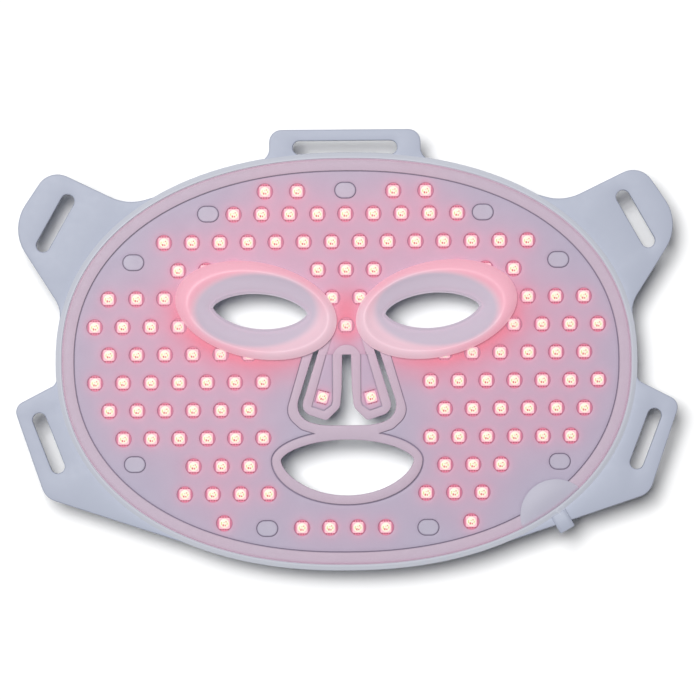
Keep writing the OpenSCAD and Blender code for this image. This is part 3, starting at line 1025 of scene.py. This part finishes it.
def make_eye_cup(side):
    """The CAD cup, smoothed, with painted pink light where the lights under it shine through."""
    node = "eye_cup_" + side
    points, triangles = node_arrays(node)
    obj = mesh(node + "_detail", points, [tuple(int(i) for i in t) for t in triangles], [CUP])
    work = bmesh.new()
    work.from_mesh(obj.data)
    bmesh.ops.remove_doubles(work, verts=work.verts, dist=0.00001)
    bmesh.ops.join_triangles(work, faces=work.faces, angle_face_threshold=1.2, angle_shape_threshold=3.0)
    foot = [all(v.co.z * METRE < PAD_TOP + 0.4 for v in edge.verts) for edge in work.edges]
    sharp = [edge.calc_face_angle(0) > 0.7 for edge in work.edges]
    sharpness = 0.8 * np.logical_and(foot, sharp)
    work.to_mesh(obj.data)
    work.free()
    creases = obj.data.attributes.new("crease_edge", "FLOAT", "EDGE")
    creases.data.foreach_set("value", sharpness)
    soft = obj.vertex_groups.new(name="soft")
    soft.add([v.index for v in obj.data.vertices if v.co.z * METRE > PAD_TOP + 0.4], 1.0, "REPLACE")
    easing = obj.modifiers.new("easing", "SMOOTH")
    easing.factor = 0.5
    easing.iterations = 12
    easing.vertex_group = "soft"
    smoothing = obj.modifiers.new("smoothing", "SUBSURF")
    smoothing.levels = smoothing.render_levels = 2
    applied(obj)
    obj.data.polygons.foreach_set("use_smooth", [True] * len(obj.data.polygons))
    middle = CUP_EDGES[side].mean(0)
    outer_sign = math.copysign(1, middle[0])

    def over(points):
        """Places on the cup, with the outer side at x = 1 and the top at y = 1."""
        x = (points[:, 0] - middle[0]) * outer_sign / CUP_HALF[0]
        y = (points[:, 1] - middle[1]) / CUP_HALF[1]
        return x, y

    def rim(points):
        """0 in the bowl and 1 on the rim."""
        reach = np.clip((np.hypot(*over(points)) - 0.70) / 0.14, 0, 1)
        return reach * reach * (3 - 2 * reach)

    def painted_pink_light(points):
        """Painted pink light on the rim, less on the side that is low and towards the nose."""
        x, y = over(points)
        shaded = np.clip((0.75 * -x + 0.66 * -y - 0.2) / 0.55, 0, 1)
        return (1 - 0.7 * shaded) * rim(points)

    paint_glow(obj, painted_pink_light, rim)
    return dressed(obj, node, [node])


# Nose flaps

# Where the outline of each layer ends, below the hinge
FLAP_PAD_END = -2.6
FLAP_STRIP_END = -2.35
FLAP_CIRCUIT_END = -2.75


def to_root(loops, reach):
    """Outlines whose end at the hinge is carried on to the root line."""
    result = []
    for loop in loops:
        loop = loop.copy()
        loop[loop[:, 1] > reach, 1] = ROOT_Y
        result.append(loop)
    return result


def flap_layer(side, name, node, loops, profile, finish, grid=0, share=None):
    """One layer of a nose flap, which runs from the mask's root line into the flap."""
    obj = slab_object("{}_{}".format(name, side), loops, profile, [finish], grid, share)
    return finish_flap(obj, side, node)


def finish_flap(obj, side, node):
    """Smooths a layer's shading, paints the lights' glow on it as painted light, and hides the CAD node it
    stands for.
    """
    smooth_by_angle(obj, 50)
    paint_glow(obj)
    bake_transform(obj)
    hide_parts("nose_flap_{}_{}".format(node, side))
    return obj


def make_flap(side):
    """Cover, circuit, reflector strip, pad and light of one flap."""
    outline = to_root(slice_loops("nose_flap_pad_" + side, PAD_LOW + 0.1, 0.5), FLAP_PAD_END)
    walls = to_root(slice_loops("nose_flap_cover_" + side, 2.3, 0.5), FLAP_STRIP_END)
    strip = to_root(slice_loops("nose_flap_reflector_" + side, 2.25, 0.5), FLAP_STRIP_END)
    circuit = to_root(slice_loops("nose_flap_circuit_" + side, BOARD_TOP - 0.1, 0.5), FLAP_CIRCUIT_END)
    parts = [
        slab(outline, rounded_profile(0, FLOOR_TOP, 0.5, 0), 1.5, at_root),
        slab(walls, rounded_profile(FLOOR_TOP, PAD_LOW - 0.02, 0, 0.2), 0, at_root),
    ]
    vertices, faces = joined(parts)
    numbers = [0] * len(parts[0][1]) + [1] * len(parts[1][1])
    cover = mesh("nose_flap_cover_detail_" + side, vertices, faces, [COVER, LEDGE], numbers)
    finish_flap(cover, side, "cover")
    flap_layer(
        side, "nose_flap_circuit_detail", "circuit", circuit, rounded_profile(FLOOR_TOP, BOARD_TOP, 0, 0),
        TRAY, 1.5,
    )
    flap_layer(
        side, "nose_flap_strip", "reflector", strip, rounded_profile(BOARD_TOP, SHEET_TOP, 0, 0.15, 2),
        REFLECTOR, 1.4, at_root,
    )
    skin = flap_layer(
        side, "nose_flap_skin", "pad", outline, rounded_profile(PAD_LOW, PAD_TOP - 0.05, 0, 0.5),
        PAD, 1.5, at_root,
    )
    sign = -1 if side == "left" else 1
    nodes = ["nose_light_" + side, "nose_lens_" + side]
    make_lights("nose_" + side, [NOSE[side]], "nose_flap_" + side, nodes, sign * NOSE_TURN, False)


# CAD nodes that are shown as they are


def give(node, finish):
    """Sets the only material of a CAD node."""
    data = frame["nodes"][node].data
    data.materials.clear()
    data.materials.append(finish)


def finish_cad_nodes():
    give("flex_circuit", CIRCUIT)
    give("junction_board", BOARD)
    give("junction_resistors", RESISTOR)
    give("junction_connector", CONNECTOR)
    give("inlet_socket", SOCKET)
    give("inlet_contact", BRASS)
    give("inlet_spring", STEEL)
    give("inlet_leads", WIRE)


# The studio


def area_light(name, place, target, size, power):
    """A white square light that the camera doesn't see."""
    light = bpy.data.lights.new(name, "AREA")
    light.size = size
    light.energy = power
    obj = bpy.data.objects.new(name, light)
    obj.location = place
    obj.rotation_euler = (Vector(target) - Vector(place)).to_track_quat("-Z", "Y").to_euler()
    obj.visible_camera = False
    bpy.context.scene.collection.objects.link(obj)
    return obj


FLOOR_Z = -0.024
KEY_PLACE = (-0.6, 0.74, 4.0)
KEY_SIZE = 1.6
KEY_POWER = 198.0
EDGE_PLACE = (0.05, -0.9, 0.55)
EDGE_SIZE = 0.12
EDGE_POWER = 0.4
ORIGIN = (0, 0, 0)


def make_studio():
    """A white floor, low enough that the nose flaps bend clear of it, and soft light from overhead."""
    half = 3.0
    corners = [(-half, -half), (half, -half), (half, half), (-half, half)]
    places = [(x * METRE, y * METRE, FLOOR_Z * METRE) for x, y in corners]
    white = tinted("floor_paper", (0.95, 0.95, 0.95, 1), (0.93, 0.93, 0.93, 1), 0.9, 30.0)
    floor = mesh("floor", places, [(0, 1, 2, 3)], [white])
    area_light("key", KEY_PLACE, ORIGIN, KEY_SIZE, KEY_POWER)
    area_light("edge_light", EDGE_PLACE, ORIGIN, EDGE_SIZE, EDGE_POWER)
    world = bpy.data.worlds.new("studio")
    world.use_nodes = True
    world.node_tree.nodes["Background"].inputs["Color"].default_value = (1, 1, 1, 1)
    world.node_tree.nodes["Background"].inputs["Strength"].default_value = 0.03
    bpy.context.scene.world = world
    bpy.context.scene.view_settings.view_transform = "Standard"


CAMERA_FAR = 2.5


def make_camera():
    """Straight down, turned by the small angle at which the mask lies in the picture."""
    camera = bpy.data.cameras.new("camera")
    camera.lens = 100 * CAMERA_FAR
    camera.sensor_width = 36
    obj = bpy.data.objects.new("camera", camera)
    obj.location = (0.0016, 0, 0.883 * CAMERA_FAR + 0.003)
    obj.rotation_euler = (0, 0, -ROLL)
    bpy.context.scene.collection.objects.link(obj)
    bpy.context.scene.camera = obj


make_camera()
make_studio()
make_back_cover()
make_reflector()
make_posts()
make_pad()
make_patch()
for zone in ZONES:
    make_lights(zone, CENTRES[zone], "mask", ["lights_" + zone, "lenses_" + zone])
for side in ("left", "right"):
    make_eye_cup(side)
    make_flap(side)
finish_cad_nodes()
